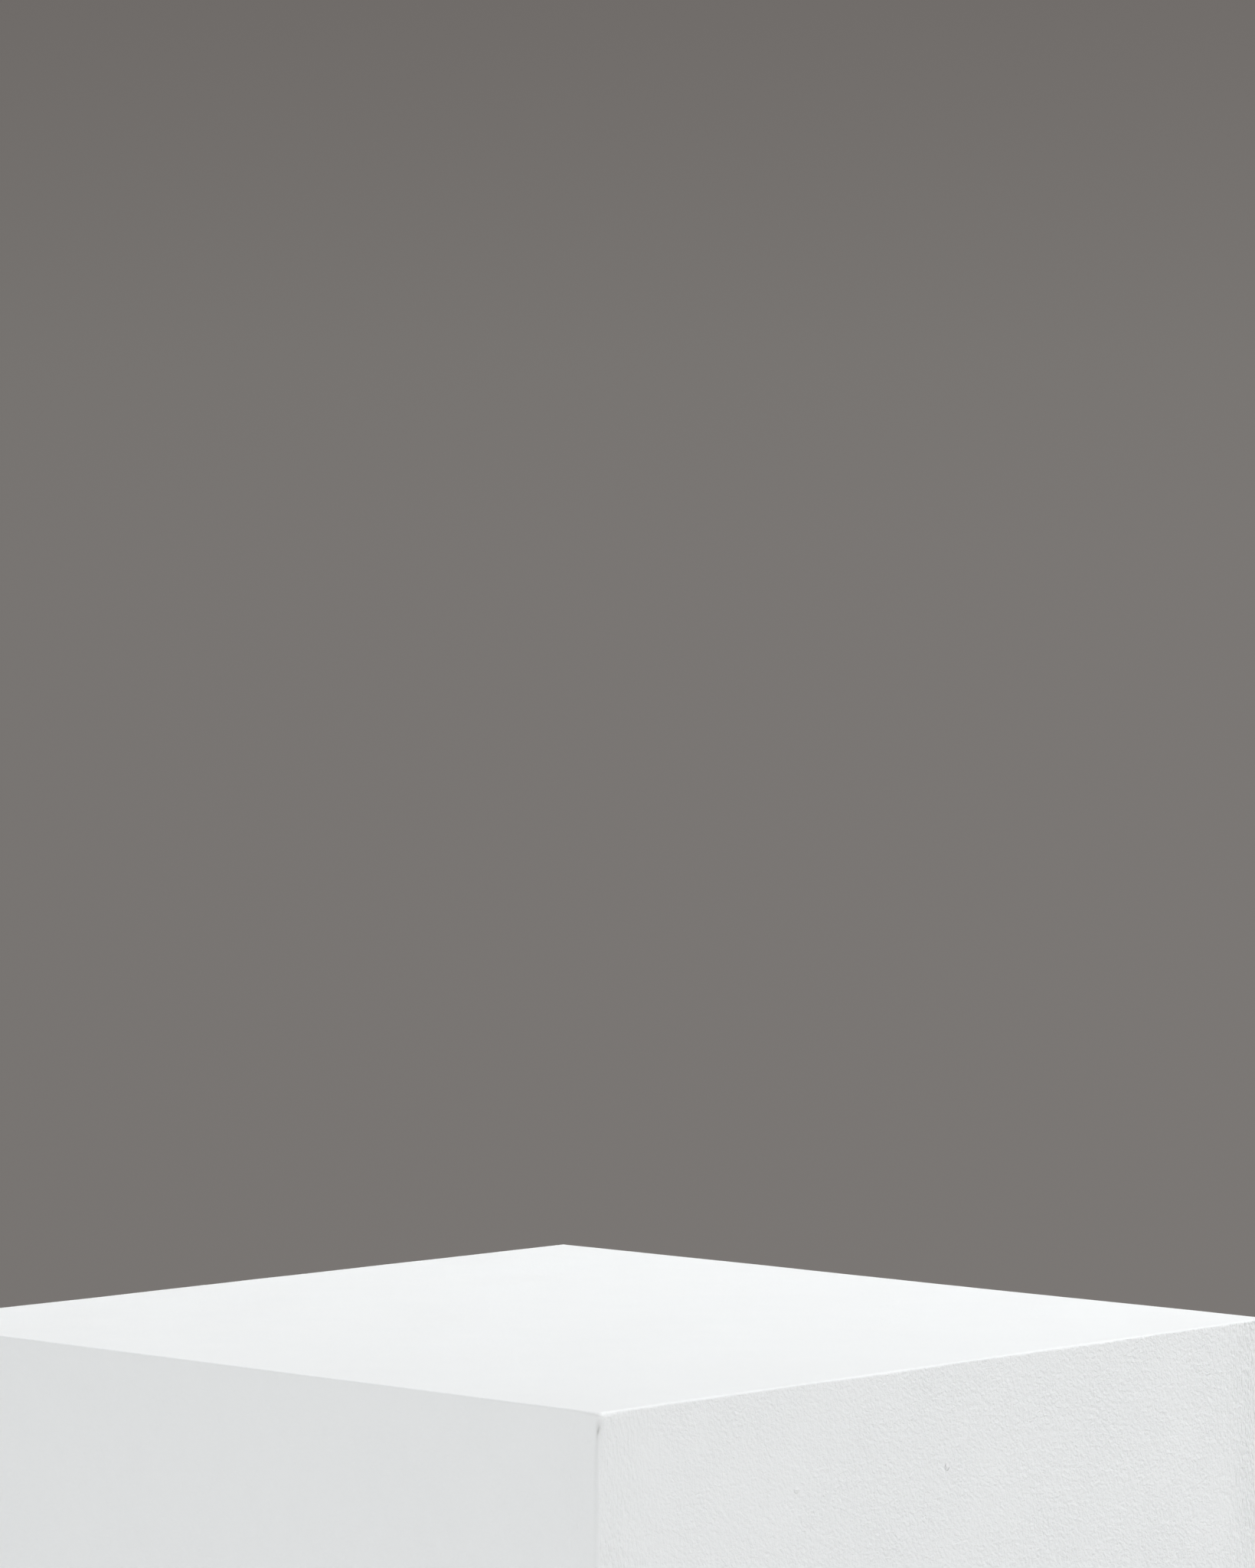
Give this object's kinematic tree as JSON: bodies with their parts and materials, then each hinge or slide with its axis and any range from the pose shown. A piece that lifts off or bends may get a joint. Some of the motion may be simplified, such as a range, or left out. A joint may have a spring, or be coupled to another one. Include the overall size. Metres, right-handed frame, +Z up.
{
  "type": "display plinth",
  "caption": "Square painted box plinth with mitred board panels over a batten frame, a shadow gap at the floor and hidden screw levelling feet.",
  "frame": {"origin": "on the floor under the middle of the plinth", "axes": "+Z up; -Y is the front face; +X to the right when looking at the front"},
  "size_m": [0.4, 0.4, 1],
  "materials": {
    "painted_board": "matt white emulsion rolled on filled and sanded fibreboard",
    "softwood": "planed pine, bare",
    "plywood": "birch plywood, bare",
    "beech": "pressed beech, bare",
    "zinc_plate": "bright zinc plate",
    "nylon": "black nylon"
  },
  "bodies": {
    "root": {"front_panel": "painted_board", "right_panel": "painted_board", "back_panel": "painted_board", "left_panel": "painted_board", "top_panel": "painted_board", "corner_post_front_left": "softwood", "corner_post_front_right": "softwood", "corner_post_back_right": "softwood", "corner_post_back_left": "softwood", "top_rail_front": "softwood", "top_rail_right": "softwood", "top_rail_back": "softwood", "top_rail_left": "softwood", "bottom_rail_front": "softwood", "bottom_rail_right": "softwood", "bottom_rail_back": "softwood", "bottom_rail_left": "softwood", "base_board": "plywood", "mitre_biscuits": "beech", "top_biscuits": "beech", "post_screws": "zinc_plate", "rail_screws": "zinc_plate", "top_screws": "zinc_plate", "base_screws": "zinc_plate", "tee_nut_front_left": "zinc_plate", "tee_nut_front_right": "zinc_plate", "tee_nut_back_right": "zinc_plate", "tee_nut_back_left": "zinc_plate"},
    "foot_pad_front_left": {"foot_pad_front_left": "nylon"},
    "foot_stud_front_left": {"foot_stud_front_left": "zinc_plate"},
    "foot_pad_front_right": {"foot_pad_front_right": "nylon"},
    "foot_stud_front_right": {"foot_stud_front_right": "zinc_plate"},
    "foot_pad_back_right": {"foot_pad_back_right": "nylon"},
    "foot_stud_back_right": {"foot_stud_back_right": "zinc_plate"},
    "foot_pad_back_left": {"foot_pad_back_left": "nylon"},
    "foot_stud_back_left": {"foot_stud_back_left": "zinc_plate"}
  },
  "joints": [
    {"name": "foot_front_left_raise", "type": "slide", "parent": "root", "child": "foot_pad_front_left", "axis": [0, 0, 1], "range_m": [0, 0.01]},
    {"name": "foot_front_left_turn", "type": "hinge", "parent": "foot_pad_front_left", "child": "foot_stud_front_left", "pos_m": [-0.138, -0.138, 0.008], "axis": [0, 0, 1], "range_deg": [0, 2400.5]},
    {"name": "foot_front_right_raise", "type": "slide", "parent": "root", "child": "foot_pad_front_right", "axis": [0, 0, 1], "range_m": [0, 0.01]},
    {"name": "foot_front_right_turn", "type": "hinge", "parent": "foot_pad_front_right", "child": "foot_stud_front_right", "pos_m": [0.138, -0.138, 0.008], "axis": [0, 0, 1], "range_deg": [0, 2400.5]},
    {"name": "foot_back_right_raise", "type": "slide", "parent": "root", "child": "foot_pad_back_right", "axis": [0, 0, 1], "range_m": [0, 0.01]},
    {"name": "foot_back_right_turn", "type": "hinge", "parent": "foot_pad_back_right", "child": "foot_stud_back_right", "pos_m": [0.138, 0.138, 0.008], "axis": [0, 0, 1], "range_deg": [0, 2400.5]},
    {"name": "foot_back_left_raise", "type": "slide", "parent": "root", "child": "foot_pad_back_left", "axis": [0, 0, 1], "range_m": [0, 0.01]},
    {"name": "foot_back_left_turn", "type": "hinge", "parent": "foot_pad_back_left", "child": "foot_stud_back_left", "pos_m": [-0.138, 0.138, 0.008], "axis": [0, 0, 1], "range_deg": [0, 2400.5]}
  ],
  "couplings": [
    {"joint": "foot_front_left_turn", "follows": "foot_front_left_raise", "rad_per_m": 4188.8},
    {"joint": "foot_front_right_turn", "follows": "foot_front_right_raise", "rad_per_m": 4188.8},
    {"joint": "foot_back_right_turn", "follows": "foot_back_right_raise", "rad_per_m": 4188.8},
    {"joint": "foot_back_left_turn", "follows": "foot_back_left_raise", "rad_per_m": 4188.8}
  ]
}
